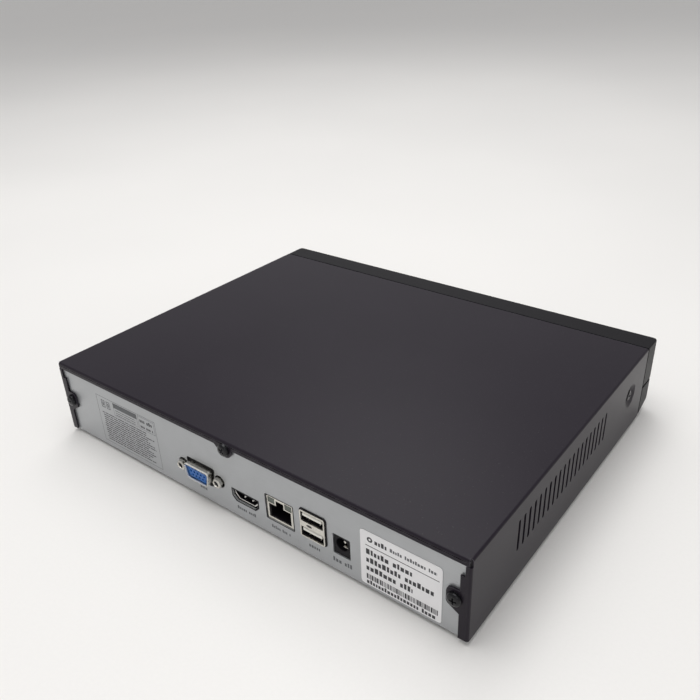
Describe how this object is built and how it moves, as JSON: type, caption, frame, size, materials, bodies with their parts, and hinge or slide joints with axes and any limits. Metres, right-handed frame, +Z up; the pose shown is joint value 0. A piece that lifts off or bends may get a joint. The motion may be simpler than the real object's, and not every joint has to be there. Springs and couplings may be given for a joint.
{
  "type": "network video recorder",
  "caption": "Small video recorder in a folded steel case with a moulded front, a row of rear sockets, a draw-off cover, and a disk whose platter spins and head arm swings.",
  "frame": {"origin": "centre of the whole object's box at the level of the feet's undersides", "axes": "+X across the width, to the left hand of someone facing the rear sockets; +Y out of the rear panel, so the front faces -Y; +Z up"},
  "size_m": [0.255, 0.2054, 0.0445],
  "materials": {
    "black_paint": "satin charcoal powder coat",
    "silver_steel": "zinc-coated sheet steel, fine matt grain",
    "black_moulding": "satin black moulding",
    "smoked_window": "smoked gloss window",
    "black_zinc": "black zinc-plated steel",
    "nickel_plate": "nickel-plated metal",
    "disk_lid_steel": "brushed stainless sheet",
    "platter_mirror": "polished platter",
    "blue_moulding": "blue insulator",
    "white_moulding": "natural white nylon",
    "rubber": "matt black rubber",
    "label_film": "printed silver-white film",
    "circuit_board": "green solder mask on glass epoxy",
    "aluminium": "cast or extruded aluminium",
    "chip_plastic": "moulded black epoxy or sheath",
    "brass_hex": "machined brass",
    "red_sleeve": "red flexible sleeve"
  },
  "bodies": {
    "chassis": {"chassis_tray": "silver_steel", "foot_front_left": "rubber", "foot_front_right": "rubber", "foot_rear_left": "rubber", "foot_rear_right": "rubber", "front_bezel": "black_moulding", "front_lens": "smoked_window", "indicator_board": "circuit_board", "rating_label": "label_film", "main_board": "circuit_board", "board_standoff_1": "brass_hex", "board_standoff_2": "brass_hex", "board_standoff_3": "brass_hex", "board_standoff_4": "brass_hex", "board_screw_1": "nickel_plate", "board_screw_2": "nickel_plate", "board_screw_3": "nickel_plate", "board_screw_4": "nickel_plate", "processor": "chip_plastic", "heat_sink": "aluminium", "battery_holder": "black_moulding", "clock_battery": "nickel_plate", "buzzer": "black_moulding", "disk_power_header": "white_moulding", "disk_data_socket": "chip_plastic", "vga_housing": "black_moulding", "vga_shell": "nickel_plate", "vga_insert": "blue_moulding", "vga_post_left": "nickel_plate", "vga_post_right": "nickel_plate", "hdmi_shell": "nickel_plate", "hdmi_tongue": "black_moulding", "lan_shell": "nickel_plate", "lan_insert": "black_moulding", "usb_shell": "nickel_plate", "usb_insert": "white_moulding", "dc_jack_body": "black_moulding", "dc_jack_pin": "nickel_plate", "disk_base": "aluminium", "disk_lid": "disk_lid_steel", "disk_circuit_board": "circuit_board", "disk_screw_1": "nickel_plate", "disk_screw_2": "nickel_plate", "disk_screw_3": "nickel_plate", "disk_screw_4": "nickel_plate", "magnet_yoke": "nickel_plate", "disk_data_lead": "red_sleeve", "disk_power_lead": "chip_plastic", "indicator_lead": "white_moulding"},
    "cover": {"top_cover": "black_paint", "cover_screw_rear_left": "black_zinc", "cover_screw_rear_middle": "black_zinc", "cover_screw_rear_right": "black_zinc", "cover_screw_side_left": "black_zinc", "cover_screw_side_right": "black_zinc"},
    "disk_spindle": {"disk_hub": "aluminium", "disk_platter": "platter_mirror"},
    "disk_arm": {"head_arm": "aluminium"}
  },
  "joints": [
    {"name": "cover_draw_off", "type": "slide", "parent": "chassis", "child": "cover", "axis": [0, 1, 0], "range_m": [0, 0.225]},
    {"name": "platter_spin", "type": "hinge", "parent": "chassis", "child": "disk_spindle", "pos_m": [0.038, -0.0304, 0.021], "axis": [0, 0, 1], "continuous": true},
    {"name": "head_arm_swing", "type": "hinge", "parent": "chassis", "child": "disk_arm", "pos_m": [-0.02, -0.0114, 0.021], "axis": [0, 0, 1], "range_deg": [0, 30]}
  ]
}
